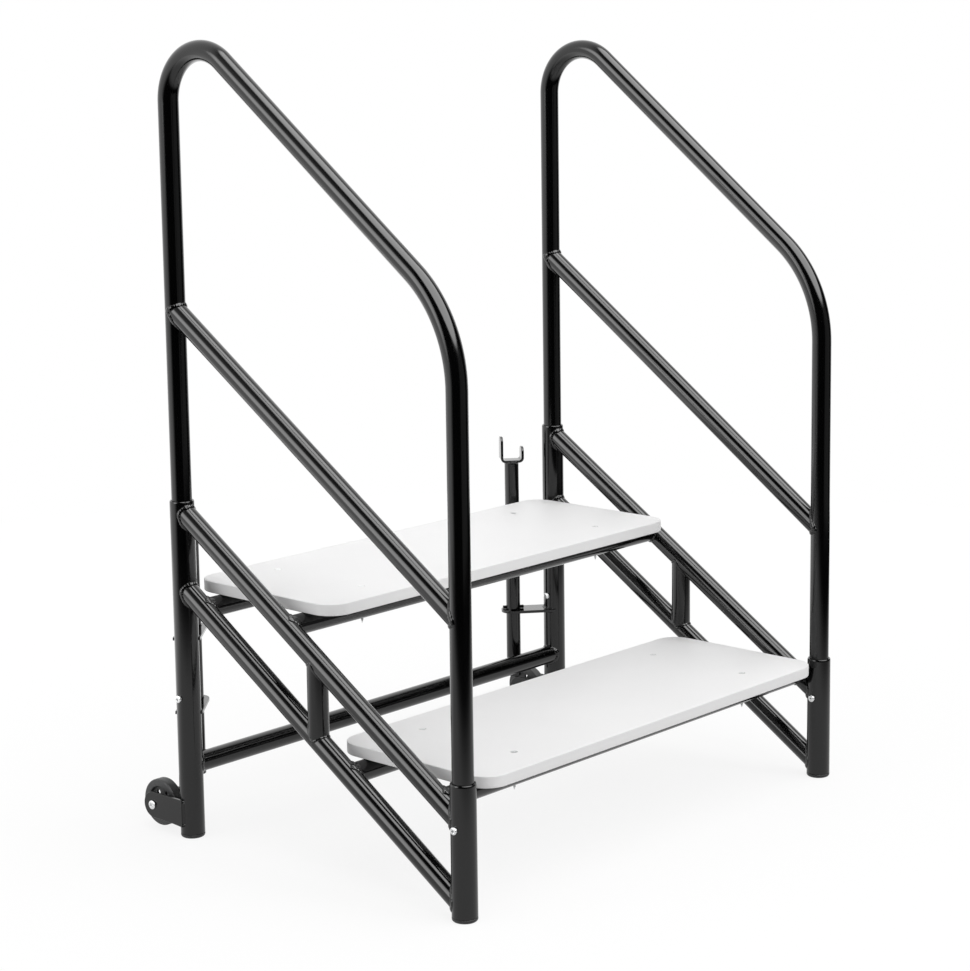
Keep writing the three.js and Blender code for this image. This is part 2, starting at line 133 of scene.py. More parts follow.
def new_finish(name, uniform):
    """A material with uniform values on the shader's own sockets, and a wire of the place on it."""
    made = bpy.data.materials.new(name)
    made.use_nodes = True
    for socket, value in uniform.items():
        made.node_tree.nodes["Principled BSDF"].inputs[socket].default_value = value
    return made, Wire(made.node_tree).node("TexCoord", {}, {}, "Object")


def feed(made, varying):
    """Links what changes over the surface to the shader of a material."""
    shader = made.node_tree.nodes["Principled BSDF"]
    for socket, wire in varying.items():
        made.node_tree.links.new(wire.socket, shader.inputs[socket])


def cloud(place, per_metre, detail=2.0):
    """A soft random pattern from 0 to 1, with its grains a size given per metre."""
    return place.node("TexNoise", {}, {"Vector": place, "Scale": per_metre, "Detail": detail})


def between(amount, first, second):
    """A colour between two others."""
    return amount.node("Mix", {"data_type": "RGBA"}, {0: amount, 6: first, 7: second}, 2)


def raised(height, metres):
    """A surface lifted by a pattern's height times a number of metres."""
    return height.node("Bump", {}, {"Height": height, "Distance": metres})


def above(wire, low, high):
    """A mask that goes from 0 at a low value to 1 at a high one."""
    return wire.node(
        "MapRange", {"interpolation_type": "SMOOTHSTEP"},
        {"Value": wire, "From Min": low, "From Max": high})


gloss_black, spot = new_finish("gloss_black_powder_coat", {"IOR": 1.5})
dust = above(cloud(spot, 700, 3.0) * cloud(spot, 9, 3.0), 0.36, 0.52)
greyed = 0.6 * dust + 0.4 * cloud(spot, 14)
feed(gloss_black, {
    "Base Color": between(greyed, coat_black, coat_greyed),
    "Roughness": 0.07 + 0.10 * cloud(spot, 11, 4.0) + 0.10 * dust,
    "Normal": raised(cloud(spot, 260, 1.0), orange_peel),
})


def turned(profile, turns=96, ridge=None):
    """Points and faces of a profile of (radius, height) pairs turned about Z and closed.
    A radius of 0 is one point on the axis; ridge gives what a thread adds at a height and angle."""
    points, rows = [], []
    for radius, height in profile:
        if radius == 0:
            rows.append([len(points)])
            points.append(Vector((0, 0, height)))
            continue
        rows.append(list(range(len(points), len(points) + turns)))
        for turn in range(turns):
            angle = 2 * pi * turn / turns
            wide = radius + (ridge(height, angle) if ridge else 0)
            points.append(Vector((wide * cos(angle), wide * sin(angle), height)))
    faces = []
    for low, high in zip(rows, rows[1:] + rows[:1]):
        if len(low) == len(high) == 1:
            continue
        for turn in range(turns):
            after = (turn + 1) % turns
            corners = [low[turn % len(low)], low[after % len(low)],
                       high[after % len(high)], high[turn % len(high)]]
            faces.append(list(dict.fromkeys(corners)))
    return points, faces


def shaped(name, shape, crease=35):
    """A mesh from points and faces, facing outwards, smooth but for edges sharper than crease."""
    points, faces = shape
    mesh = bpy.data.meshes.new(name)
    mesh.from_pydata(points, [], faces)
    work = bmesh.new()
    work.from_mesh(mesh)
    bmesh.ops.recalc_face_normals(work, faces=work.faces)
    work.to_mesh(mesh)
    work.free()
    mesh.shade_smooth()
    mesh.set_sharp_from_angle(angle=radians(crease))
    return mesh


def set_piece(name, mesh, finish, body, node=None, place=None):
    """A piece with its finish, set in its place, riding on its body and standing for its node."""
    if not mesh.materials:
        mesh.materials.append(finish)
    piece = new_object(name, mesh)
    piece.matrix_world = place or Matrix.Identity(4)
    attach(piece, body)
    if node:
        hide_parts(node)
    return piece


def middle(node):
    """The middle of a node's box."""
    low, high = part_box(node)
    return (low + high) / 2


def at(x, y, z):
    """A place for a piece, without a turn."""
    return Matrix.Translation(Vector((x, y, z)))


def quarter(steps):
    """Angles from 0 to a right angle in even steps, both included."""
    return [step * pi / (2 * steps) for step in range(steps + 1)]


def leg_profile(radius, bottom, top):
    """The wall of a leg: square foot, straight side, and a mouth that curves in and is bevelled."""
    bore = radius - leg_wall
    mouth = [
        (radius - mouth_depth * (1 - cos(angle)), top - mouth_length * (1 - sin(angle)))
        for angle in quarter(6)[:-1]]
    return [
        (bore, bottom), (radius - cut_edge, bottom), (radius, bottom + cut_edge), *mouth,
        (radius - mouth_depth - cut_edge / 2, top), (bore, top - mouth_bevel)]


leg_low, leg_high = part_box("rear_leg_left")
leg_radius = (leg_high.x - leg_low.x) / 2
for side in sides:
    for end in ("front", "rear"):
        node = f"{end}_leg_{side}"
        low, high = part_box(node)
        wall = turned(leg_profile(leg_radius, low.z, high.z))
        set_piece(
            f"{node}_tube", shaped(node, wall), gloss_black, "frame", node,
            at(middle(node).x, middle(node).y, 0))


# Foot caps: moulded black plastic with a round-edged sole, pushed into the leg's bore on a plug.
# Scuffed dull in places.
sole_height = 0.006
sole_edge = 0.004
plug_gap = 0.0002
sole_black, sole_scuffed = (0.012, 0.012, 0.013, 1), (0.036, 0.036, 0.036, 1)
moulded_grain = 0.00003

cap_black, spot = new_finish("foot_cap_plastic", {"IOR": 1.48})
grain = cloud(spot, 1800, 3.0)
scuff = above(cloud(spot, 260, 4.0) * cloud(spot, 60, 2.0), 0.26, 0.42)
feed(cap_black, {
    "Base Color": between(scuff, sole_black, sole_scuffed),
    "Roughness": 0.36 + 0.10 * grain + 0.22 * scuff,
    "Normal": raised(grain, moulded_grain),
})

for side in sides:
    for end in ("front", "rear"):
        node = f"foot_cap_{end}_{side}"
        low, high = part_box(node)
        edge = [
            (leg_radius - sole_edge * (1 - sin(angle)), sole_edge * (1 - cos(angle)))
            for angle in quarter(8)]
        plug = leg_radius - leg_wall - plug_gap
        cap = turned([
            (0, 0), *edge, (leg_radius, sole_height - cut_edge),
            (leg_radius - cut_edge, sole_height), (plug, sole_height),
            (plug, high.z - cut_edge), (plug - cut_edge, high.z), (0, high.z)])
        set_piece(
            f"{node}_moulding", shaped(node, cap), cap_black, "frame", node,
            at(middle(node).x, middle(node).y, low.z))


# Side frames: on each side two parallel sloping braces of 1.25 inch steel tube, welded between the
# legs, with a short upright strut between them. Each end is cut to the round of what it meets.
tube_radius = 0.015875
tube_wall = 0.002
tube_turns = 72
weld_bite = 0.0001
weld_size = 0.0035
neat_weld = 0.0019
weld_height, weld_spread = 0.60, 1.25
weld_sections = 10
weld_end = 0.02
ripple_pitch = 0.0044
ripple_rows = 6
ripple_height, ripple_lag = 0.06, 1.3
wander_height, wander_waves = 0.12, ((3, 900), (7, 300))

Bar = namedtuple("Bar", "start end radius")


def meets(point, along, bar):
    """How far from a point, along a direction, the round side of a bar lies, the nearer of two."""
    axis = (bar.end - bar.start).normalized()
    gap = point - bar.start
    gap -= gap.dot(axis) * axis
    run = along - along.dot(axis) * axis
    halfway = -gap.dot(run) / run.dot(run)
    chord = sqrt(max(halfway ** 2 - (gap.dot(gap) - bar.radius ** 2) / run.dot(run), 0))
    return halfway - chord if halfway > 0 else halfway + chord


def side_lines(bar, radius, turns):
    """The middle of each straight line along a bar's round side, its direction and its way out."""
    along = (bar.end - bar.start).normalized()
    across = along.orthogonal().normalized()
    over = along.cross(across)
    for turn in range(turns):
        angle = 2 * pi * turn / turns
        out = cos(angle) * across + sin(angle) * over
        yield (bar.start + bar.end) / 2 + radius * out, along, out


def wrapped(rings, around, closed=True):
    """Faces between rings of points. The last ring meets the first, or else both are capped."""
    faces = []
    for ring in range(rings if closed else rings - 1):
        low, high = ring * around, (ring + 1) % rings * around
        for turn in range(around):
            after = (turn + 1) % around
            faces.append([low + turn, low + after, high + after, high + turn])
    if not closed:
        faces += [list(range(around)), list(range((rings - 1) * around, rings * around))]
    return faces


def coped_tube(bar, first_mate, last_mate):
    """Points and faces of a tube whose ends are cut to the round sides of its two mates."""
    points = []
    for radius, mate in (
            (bar.radius, first_mate), (bar.radius, last_mate),
            (bar.radius - tube_wall, last_mate), (bar.radius - tube_wall, first_mate)):
        bitten = mate._replace(radius=mate.radius - weld_bite)
        for point, along, out in side_lines(bar, radius, tube_turns):
            points.append(point + along * meets(point, along, bitten))
    return points, wrapped(4, tube_turns)


def weld_bead(path, outward, size, closed=True, uneven=1):
    """Points and faces of a flattened weld bead along a path, heaped towards outward. It is
    rippled, or smooth where uneven is 0."""
    rows = len(path)
    length = sum((path[row] - path[row - 1]).length for row in range(0 if closed else 1, rows))
    ripples = round(length / ripple_pitch)
    points = []
    for row, (here, out) in enumerate(zip(path, outward)):
        before = path[row - 1] if closed or row else here
        after = path[(row + 1) % rows] if closed or row + 1 < rows else here
        sideways = (after - before).cross(out).normalized()
        share = row / rows
        from_end = min(row, rows - 1 - row) / ripple_rows
        taper = 1
        if not closed and from_end <= 1:
            taper = sqrt(1 - (1 - from_end) ** 2) * (1 - weld_end) + weld_end
        wander = sum(sin(2 * pi * waves * share + length * shift) for waves, shift in wander_waves)
        for section in range(weld_sections):
            angle = 2 * pi * section / weld_sections
            ripple = cos(2 * pi * ripples * share + ripple_lag * cos(angle))
            reach = size * taper * (1 + uneven * (ripple_height * ripple + wander_height * wander))
            points.append(here + reach * (
                weld_height * cos(angle) * out + weld_spread * sin(angle) * sideways))
    return points, wrapped(rows, weld_sections, closed)


def saddle_weld(bar, mate, size):
    """The bead round the seam where a tube's end meets its mate."""
    path, outward = [], []
    rows = ripple_rows * round(2 * pi * bar.radius / ripple_pitch)
    axis = (mate.end - mate.start).normalized()
    for point, along, out in side_lines(bar, bar.radius, rows):
        seam = point + along * meets(point, along, mate)
        clear = seam - mate.start
        clear -= clear.dot(axis) * axis
        path.append(seam)
        outward.append((out + clear.normalized()).normalized())
    return weld_bead(path, outward, size)


def together(shapes):
    """Several shapes' points and faces as one."""
    points, faces = [], []
    for more_points, more_faces in shapes:
        faces += [[len(points) + corner for corner in face] for face in more_faces]
        points += more_points
    return points, faces


def set_welds(name, beads, body="frame", place=None):
    """Weld beads as one piece, smooth all over and coated with the frame."""
    mesh = shaped(name, together(beads), crease=180)
    set_piece(name, mesh, gloss_black, body, None, place)


def set_welded_tube(node, bar, first_mate, last_mate, size=weld_size):
    """A tube in its node's place, and the beads at its two ends."""
    tube = coped_tube(bar, first_mate, last_mate)
    set_piece(f"{node}_tube", shaped(node, tube), gloss_black, "frame", node)
    set_welds(f"{node}_welds", [saddle_weld(bar, mate, size) for mate in (first_mate, last_mate)])


def upright(node, radius):
    """The straight upright bar that a leg or a handrail's side follows."""
    x, y, _ = middle(node)
    return Bar(Vector((x, y, 0)), Vector((x, y, 1)), radius)


def sloping(side, end):
    """A brace: it runs through one support of each tread, on the axes of the legs."""
    lower, upper = middle(f"lower_{end}_support"), middle(f"upper_{end}_support")
    front, rear = middle(f"front_leg_{side}"), middle(f"rear_leg_{side}")
    rise = (upper.z - lower.z) / (upper.y - lower.y)
    return Bar(
        Vector((front.x, front.y, lower.z + (front.y - lower.y) * rise)),
        Vector((rear.x, rear.y, lower.z + (rear.y - lower.y) * rise)),
        tube_radius)


def height_of(brace, y):
    """The height of a brace's axis at a depth."""
    share = (y - brace.start.y) / (brace.end.y - brace.start.y)
    return brace.start.z + (brace.end.z - brace.start.z) * share


braces = {
    (level, side): sloping(side, {"upper": "front", "lower": "rear"}[level])
    for level in ("upper", "lower") for side in sides}
for (level, side), brace in braces.items():
    set_welded_tube(
        f"{level}_brace_{side}", brace,
        upright(f"front_leg_{side}", leg_radius), upright(f"rear_leg_{side}", leg_radius))
for side in sides:
    lower, upper = braces["lower", side], braces["upper", side]
    x, y = lower.start.x, middle(f"strut_{side}").y
    strut = Bar(
        Vector((x, y, height_of(lower, y))), Vector((x, y, height_of(upper, y))), tube_radius)
    set_welded_tube(f"strut_{side}", strut, lower, upper, neat_weld)


# Cross tubes: 1.25 inch steel tubes that hold the two side frames together, two under each tread,
# welded between the braces, and one low down between the rear legs. Gloss black like the legs.
for level in ("lower", "upper"):
    for end, brace in (("front", "upper"), ("rear", "lower")):
        node = f"{level}_{end}_support"
        left, right = braces[brace, "left"], braces[brace, "right"]
        y, z = middle(node).y, middle(node).z
        support = Bar(Vector((left.start.x, y, z)), Vector((right.start.x, y, z)), tube_radius)
        set_welded_tube(node, support, left, right)

x, y, z = middle("rear_cross_tube")
legs = [upright(f"rear_leg_{side}", leg_radius) for side in sides]
ends = [Vector((leg.start.x, y, z)) for leg in legs]
set_welded_tube("rear_cross_tube", Bar(*ends, tube_radius), *legs)


# Treads: 18 mm boards with round corners and a small round on every edge, finished pale grey all
# over with a fine stipple, and bored for four screws each.
corner_radius = 0.038
corner_steps = 16
edge_radius = 0.0015
edge_steps = 4
screw_head_radius = 0.0044
screw_clearance = 0.0005
board_clean, board_handled = (0.843, 0.841, 0.842, 1), (0.820, 0.818, 0.819, 1)
stipple_height = 0.00004

pale_board, spot = new_finish("pale_board", {"IOR": 1.46})
stipple = cloud(spot, 1300, 3.0)
handling = above(cloud(spot, 5, 5.0), 0.35, 0.75)
feed(pale_board, {
    "Base Color": between(0.7 * handling + 0.3 * stipple, board_clean, board_handled),
    "Roughness": 0.48 + 0.08 * stipple + 0.03 * handling,
    "Normal": raised(stipple, stipple_height),
})


def inset(loop, depth):
    """A closed outline moved to its left: inwards if it runs anticlockwise."""
    moved = []
    for number, here in enumerate(loop):
        before = (here - loop[number - 1]).normalized()
        after = (loop[(number + 1) % len(loop)] - here).normalized()
        left = Vector((-before.y - after.y, before.x + after.x)).normalized()
        moved.append(here + left * depth / left.dot(Vector((-before.y, before.x))))
    return moved


def plate(loops, bottom, top, edge):
    """Points and faces of a flat plate with rounded edges. The first loop is its outline, which
    runs anticlockwise, and the others are its holes, which run clockwise."""
    rounding = [
        (edge * (1 - sin(angle)), bottom + edge * (1 - cos(angle)))
        for angle in quarter(edge_steps)]
    levels = rounding + [(depth, bottom + top - height) for depth, height in reversed(rounding)]
    points, faces = [], []
    for depth, height in levels:
        for loop in loops:
            points += [spot.to_3d() + Vector((0, 0, height)) for spot in inset(loop, depth)]
    size = len(points) // len(levels)
    for row in range(len(levels) - 1):
        first = row * size
        for loop in loops:
            for number in range(len(loop)):
                low, after = first + number, first + (number + 1) % len(loop)
                faces.append([low, after, after + size, low + size])
            first += len(loop)
    rims = [[spot.to_3d() for spot in inset(loop, edge)] for loop in loops]
    for corners in tessellate_polygon(rims):
        faces.append(list(corners))
        faces.append([corner + len(points) - size for corner in corners])
    return points, faces


def arc(x, y, radius, start, end, steps):
    """Points on an arc, with its angles in degrees, ends included."""
    return [
        Vector((x + radius * cos(radians(angle)), y + radius * sin(radians(angle))))
        for angle in (start + (end - start) * step / steps for step in range(steps + 1))]


def round_hole(x, y, radius, steps=36):
    """The loop of a round hole, which runs clockwise."""
    return arc(x, y, radius, 0, -360, steps)[:-1]


def even_faces(piece):
    """Shades a plate's flat faces flat, right up to its rounded edges."""
    even = piece.modifiers.new("even_faces", "WEIGHTED_NORMAL")
    even.keep_sharp = True


screw_ends = [f"{end}_{side}" for end in ("front", "rear") for side in sides]
for level in ("lower", "upper"):
    node = f"{level}_tread"
    low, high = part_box(node)
    left, right = low.x + corner_radius, high.x - corner_radius
    front, rear = low.y + corner_radius, high.y - corner_radius
    outline = []
    for start, x, y in (
            (0, right, rear), (90, left, rear), (180, left, front), (270, right, front)):
        outline += arc(x, y, corner_radius, start, start + 90, corner_steps)
    holes = [
        round_hole(spot.x, spot.y, screw_head_radius + screw_clearance)
        for spot in (middle(f"{level}_tread_screw_{end}") for end in screw_ends)]
    board = plate([outline] + holes, low.z, high.z, edge_radius)
    even_faces(set_piece(
        f"{node}_board", shaped(node, board), pale_board, "frame", node))


# Tread screws: flat-headed zinc screws with a cross recess, driven flush through the board and
# its tube. Their threaded ends show under the tubes.
tread_screw_core = 0.0016
tread_screw_crest = 0.0021
tread_screw_head_depth = 0.0026
tread_screw_point = 0.005
tread_screw_full_thread = 0.014
tread_screw_pitch = 0.0014
tread_recess_span, tread_recess_depth = 0.0046, 0.0021
head_below_top = 0.0003
thread_rows = 8
thread_flank = 3
thread_end = 0.0006
recess_arm = 0.13
recess_mouth, recess_bottom = 1.15, 0.45
recess_above = 0.3
cut_crease = radians(30)
zinc_clean, zinc_bloomed = (0.84, 0.85, 0.86, 1), (0.70, 0.705, 0.70, 1)
zinc_grain = 0.000006

bright_zinc, spot = new_finish("bright_zinc", {"Metallic": 1.0})
bloom = cloud(spot, 420, 3.0)
feed(bright_zinc, {
    "Base Color": between(bloom, zinc_clean, zinc_bloomed),
    "Roughness": 0.20 + 0.20 * bloom,
    "Normal": raised(cloud(spot, 1500, 2.0), zinc_grain),
})


def thread(pitch, depth, top):
    """What a screw thread adds to its core at a height and an angle, up to the thread's top."""
    def ridge(height, angle):
        turn = (height / pitch - angle / (2 * pi)) % 1
        return depth * max(0, 1 - abs(turn - 0.5) * thread_flank) if height <= top else 0
    return ridge


def cut_with(mesh, tool, operation="DIFFERENCE"):
    """A mesh after another has been cut from it, or kept in common with it."""
    held = [new_object("held", shape) for shape in (mesh, tool)]
    cutting = held[0].modifiers.new("cutting", "BOOLEAN")
    cutting.operation, cutting.solver, cutting.object = operation, "EXACT", held[1]
    done = bpy.data.meshes.new_from_object(
        held[0].evaluated_get(bpy.context.evaluated_depsgraph_get()))
    for shape in held:
        bpy.data.objects.remove(shape)
    done.materials.clear()
    done.shade_smooth()
    done.set_sharp_from_angle(angle=cut_crease)
    return done


def cross_recess(top, span, depth):
    """The driver's cross, wide at a screw head's top and narrower at its bottom."""
    arm, half = span / 2, span * recess_arm
    cross = [
        (arm, half), (half, half), (half, arm), (-half, arm), (-half, half), (-arm, half),
        (-arm, -half), (-half, -half), (-half, -arm), (half, -arm), (half, -half), (arm, -half)]
    levels = (recess_mouth, top + depth * recess_above), (recess_bottom, top - depth)
    points = [Vector((x * scale, y * scale, height)) for scale, height in levels for x, y in cross]
    return shaped("cross_recess", (points, wrapped(2, len(cross), closed=False)))


low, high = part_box("lower_tread_screw_front_left")
screw_length = high.z - low.z
thread_top = tread_screw_point - screw_length + tread_screw_full_thread
thread_step = tread_screw_pitch / thread_rows
threaded = [
    (tread_screw_core * min(1, row * thread_step / tread_screw_point),
     row * thread_step - screw_length)
    for row in range(1, round((thread_top + screw_length) / thread_step) + 1)]
tread_screw = cut_with(
    shaped("tread_screw", turned([
        (0, -screw_length), *threaded, (tread_screw_crest, thread_top + thread_end),
        (tread_screw_crest, -tread_screw_head_depth), (screw_head_radius, -head_below_top),
        (0, -head_below_top)], turns=32,
        ridge=thread(tread_screw_pitch, tread_screw_crest - tread_screw_core, thread_top)),
        crease=40),
    cross_recess(-head_below_top, tread_recess_span, tread_recess_depth))
for level in ("lower", "upper"):
    for end in screw_ends:
        node = f"{level}_tread_screw_{end}"
        low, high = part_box(node)
        set_piece(
            f"{node}_driven", tread_screw, bright_zinc, "frame", node,
            at(middle(node).x, middle(node).y, high.z))


# Handrails: one length of 1.25 inch tube on each side, with a wide bend over the front leg and a
# tight one over the rear leg. Both ends drop into the legs. Bent by hand, the two differ a little.
front_corner_height = {"left": 0.8590, "right": 0.8300}
rear_corner_height = {"left": 1.2970, "right": 1.2824}
front_bend_radius = 0.200
rear_bend_radius = 0.076
end_below_screw = 0.026
bend_step = radians(2.5)
rail_turns = 80


def bent_line(corners, radii):
    """Points of a line with round bends at its inner corners, and its direction at each."""
    line = [(corners[0], (corners[1] - corners[0]).normalized())]
    for corner, before, after, radius in zip(corners[1:], corners, corners[2:], radii):
        arriving, leaving = (corner - before).normalized(), (after - corner).normalized()
        angle = arriving.angle(leaving)
        start = corner - arriving * radius * tan(angle / 2)
        inward = (leaving - arriving * arriving.dot(leaving)).normalized()
        steps = ceil(angle / bend_step)
        for step in range(steps + 1):
            turn = angle * step / steps
            line.append((
                start + radius * (sin(turn) * arriving + (1 - cos(turn)) * inward),
                cos(turn) * arriving + sin(turn) * inward))
    line.append((corners[-1], (corners[-1] - corners[-2]).normalized()))
    return line


def bent_tube(line, radius, wall):
    """Points and faces of a tube along a line that lies in an upright plane facing X."""
    points = []
    across = Vector((1, 0, 0))
    walls = [(spot, way, radius) for spot, way in line]
    walls += [(spot, way, radius - wall) for spot, way in reversed(line)]
    for spot, way, wide in walls:
        over = way.cross(across)
        for turn in range(rail_turns):
            angle = 2 * pi * turn / rail_turns
            points.append(spot + wide * (cos(angle) * across + sin(angle) * over))
    return points, wrapped(len(walls), rail_turns)


for side in sides:
    node = f"handrail_{side}"
    front, rear = middle(f"front_leg_{side}"), middle(f"rear_leg_{side}")
    front_end = middle(f"rail_screw_front_{side}").z - end_below_screw
    rear_end = middle(f"rail_screw_rear_{side}").z - end_below_screw
    rail_line = bent_line([
        Vector((front.x, front.y, front_end)),
        Vector((front.x, front.y, front_corner_height[side])),
        Vector((rear.x, rear.y, rear_corner_height[side])),
        Vector((rear.x, rear.y, rear_end)),
    ], (front_bend_radius, rear_bend_radius))
    rail = bent_tube(rail_line, tube_radius, tube_wall)
    set_piece(f"{node}_tube", shaped(node, rail), gloss_black, "frame", node)


# Mid rails: a straight sloping 1.25 inch tube halfway up each handrail, with its ends cut to the
# round of the handrail's two uprights and welded to them. They differ a little as well.
mid_rail_front_height = {"left": 0.4351, "right": 0.4213}
mid_rail_rear_height = {"left": 0.8316, "right": 0.8404}

for side in sides:
    front = upright(f"front_leg_{side}", tube_radius)
    rear = upright(f"rear_leg_{side}", tube_radius)
    mid_rail = Bar(
        front.start + Vector((0, 0, mid_rail_front_height[side])),
        rear.start + Vector((0, 0, mid_rail_rear_height[side])), tube_radius)
    set_welded_tube(f"mid_rail_{side}", mid_rail, front, rear)


# Rail screws: zinc machine screws with a pan head and a cross recess, one through each leg from
# the left, into the handrail. They keep the handrail from lifting out.
rail_screw_shank = 0.00275
head_height = 0.004
head_bevel = 0.0002
pan_edge = 0.0014
pan_crown = 0.0004
crown_row = 0.55, 0.25
rail_recess_span, rail_recess_depth = 0.0066, 0.0024
rail_recess_below = 0.0001
rail_screw_turn = radians(20)

low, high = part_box("rail_screw_front_left")
head_radius = (high.z - low.z) / 2
shank_end = head_height - (high.x - low.x)
pan_round = [
    (head_radius - pan_edge * (1 - cos(angle)),
     head_height - pan_crown - pan_edge * (1 - sin(angle)))
    for angle in quarter(6)]
rail_screw = cut_with(
    shaped("rail_screw", turned([
        (0, shank_end), (rail_screw_shank, shank_end), (rail_screw_shank, 0),
        (head_radius - head_bevel, 0), (head_radius, head_bevel), *pan_round,
        ((head_radius - pan_edge) * crown_row[0], head_height - pan_crown * crown_row[1]),
        (0, head_height)], turns=64)),
    cross_recess(head_height - rail_recess_below, rail_recess_span, rail_recess_depth))
for side in sides:
    for end in ("front", "rear"):
        node = f"rail_screw_{end}_{side}"
        low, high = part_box(node)
        set_piece(
            f"{node}_driven", rail_screw, bright_zinc, "frame", node,
            at(low.x + head_height, middle(node).y, middle(node).z)
            @ Matrix.Rotation(radians(-90), 4, "Y") @ Matrix.Rotation(rail_screw_turn, 4, "Z"))


# Wheel plates: 4 mm steel, one on each side of each wheel, round about the axle and flared at the
# foot, which is welded along the rear leg in a smooth seam, with a tack at each end. Gloss black.
axle_radius = 0.004
axle_clearance = 0.0003
plate_edge = 0.0005
flare_steps = 16
small_weld = 0.003
tack_weld = 0.0036
tack_length = 0.007
tack_inset = 0.001

standing = Matrix(((0, 0, 1, 0), (1, 0, 0, 0), (0, 1, 0, 0), (0, 0, 0, 1)))
for side in sides:
    axle = middle(f"wheel_{side}")
    for facing in ("inner", "outer"):
        node = f"wheel_plate_{facing}_{side}"
        low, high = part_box(node)
        foot = low.y - axle.y
        round_end = high.y - axle.y
        flare = axle.z - round_end - low.z
        outline = [Vector((foot, -round_end - flare))]
        for step in range(1, flare_steps):
            share = step / flare_steps
            outline.append(Vector((
                foot * (1 - share) ** 2 + foot * share * (1 - share),
                -round_end - flare * (1 - share) ** 2)))
        outline += arc(0, 0, round_end, -90, 90, steps=40) + [Vector((foot, round_end))]
        steel = plate(
            [outline, round_hole(0, 0, axle_radius + axle_clearance)], low.x, high.x, plate_edge)
        even_faces(set_piece(
            f"{node}_steel", shaped(node, steel), gloss_black, "frame", node,
            at(0, axle.y, axle.z) @ standing))
        leg = middle(f"rear_leg_{side}")
        inward = 1 if low.x < leg.x else -1
        seam_x = low.x + plate_edge if inward < 0 else high.x - plate_edge
        beads = []
        bottom, top = low.z + tack_inset, high.z - tack_inset
        for start, end, size, uneven in (
                (bottom, top, small_weld, 0),
                (bottom, bottom + tack_length, tack_weld, 1),
                (top - tack_length, top, tack_weld, 1)):
            rows = ripple_rows * round((end - start) / ripple_pitch)
            seam = [Vector((seam_x, low.y, start + (end - start) * row / (rows - 1)))
                    for row in range(rows)]
            lean = [Vector((-inward, -1, 0)).normalized()] * rows
            beads.append(weld_bead(seam, lean, size, closed=False, uneven=uneven))
        set_welds(f"{node}_welds", beads)


# Wheels: 75 mm transport wheels moulded in dark grey plastic, with a thin web, five round holes, a
# hub between the plates and a fine parting line round the tread. Dull, and scuffed in places.
wheel_rim_depth = 0.0115
wheel_web = 0.0045
wheel_width = 0.0175
wheel_edge = 0.0025
hub_radius = 0.009
hole_radius = 0.004
hole_circle = 0.017
hole_count = 5
first_hole = radians(37)
running_gap = 0.0005
bore_bevel = 0.0004
hub_bevel = 0.0005
rim_bevel = 0.0006
web_fillet = 0.0012
web_draft = 0.0006
web_turn = 75
hole_flare = 0.0006
cutter_reach = 0.002
parting_line, parting_line_half = 0.00015, 0.0003
tread_row = 0.0005
wheel_dark, wheel_scuffed = (0.030, 0.031, 0.032, 1), (0.062, 0.062, 0.062, 1)

wheel_grey, spot = new_finish("moulded_wheel_plastic", {"IOR": 1.48})
grain = cloud(spot, 1400, 3.0)
scuff = above(cloud(spot, 120, 5.0), 0.50, 0.72)
feed(wheel_grey, {
    "Base Color": between(0.7 * scuff + 0.3 * grain, wheel_dark, wheel_scuffed),
    "Roughness": 0.42 + 0.14 * grain + 0.16 * scuff,
    "Normal": raised(grain, moulded_grain),
})


def wheel_profile(radius, hub_end):
    """Half of a wheel's section, from its bore over the hub, the web and the rim to its tread."""
    bore = axle_radius + running_gap
    hub = hub_radius + web_draft
    rim = radius - wheel_rim_depth
    web, half = wheel_web / 2, wheel_width / 2
    tread = radius - parting_line
    at_hub = arc(web_fillet, web_fillet, web_fillet, 270 - web_turn, 270, steps=5)
    at_rim = arc(0, web_fillet, web_fillet, -90, web_turn - 90, steps=5)
    shoulder = arc(tread - wheel_edge, half - wheel_edge, wheel_edge, 90, 0, steps=8)
    return [
        (bore, hub_end - bore_bevel), (bore + bore_bevel, hub_end),
        (hub_radius - hub_bevel, hub_end), (hub_radius, hub_end - hub_bevel),
        (hub, web + web_fillet),
        *[(hub + spot.x, web + spot.y) for spot in at_hub],
        *[(rim - web_draft - web_fillet + spot.x, web + spot.y) for spot in at_rim],
        (rim - web_draft, web + web_fillet), (rim, half - rim_bevel), (rim + rim_bevel, half),
        *[(spot.x, spot.y) for spot in shoulder], (tread, tread_row), (tread, parting_line_half)]


def hole_cutter(x, y):
    """The cutter of a round hole. It flares where it leaves the web, for a rounded edge."""
    web = wheel_web / 2
    half = [(0, web + cutter_reach), (hole_radius + hole_flare, web + cutter_reach)]
    half += [
        (hole_radius + hole_flare * (1 - sin(angle)), web - hole_flare * (1 - cos(angle)))
        for angle in quarter(6)]
    whole = half + [(wide, -height) for wide, height in reversed(half)]
    points, faces = turned(whole, turns=40)
    return [point + Vector((x, y, 0)) for point in points], faces


low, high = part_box("wheel_left")
wheel_radius = (high.z - low.z) / 2
half_wheel = wheel_profile(wheel_radius, (high.x - low.x) / 2)
other_half = [(wide, -out) for wide, out in reversed(half_wheel)]
whole_wheel = half_wheel + [(wheel_radius, 0)] + other_half
solid_wheel = shaped("wheel", turned(whole_wheel, turns=128))
cutters = together([
    hole_cutter(hole_circle * cos(angle), hole_circle * sin(angle))
    for angle in (first_hole + 2 * pi * hole / hole_count for hole in range(hole_count))])
wheel = cut_with(solid_wheel, shaped("holes", cutters))
for side, way in sides.items():
    node = f"wheel_{side}"
    set_piece(
        f"{node}_moulding", wheel, wheel_grey, f"wheel_{side}_body", node,
        Matrix.Translation(middle(node)) @ Matrix.Rotation(way * radians(90), 4, "Y"))


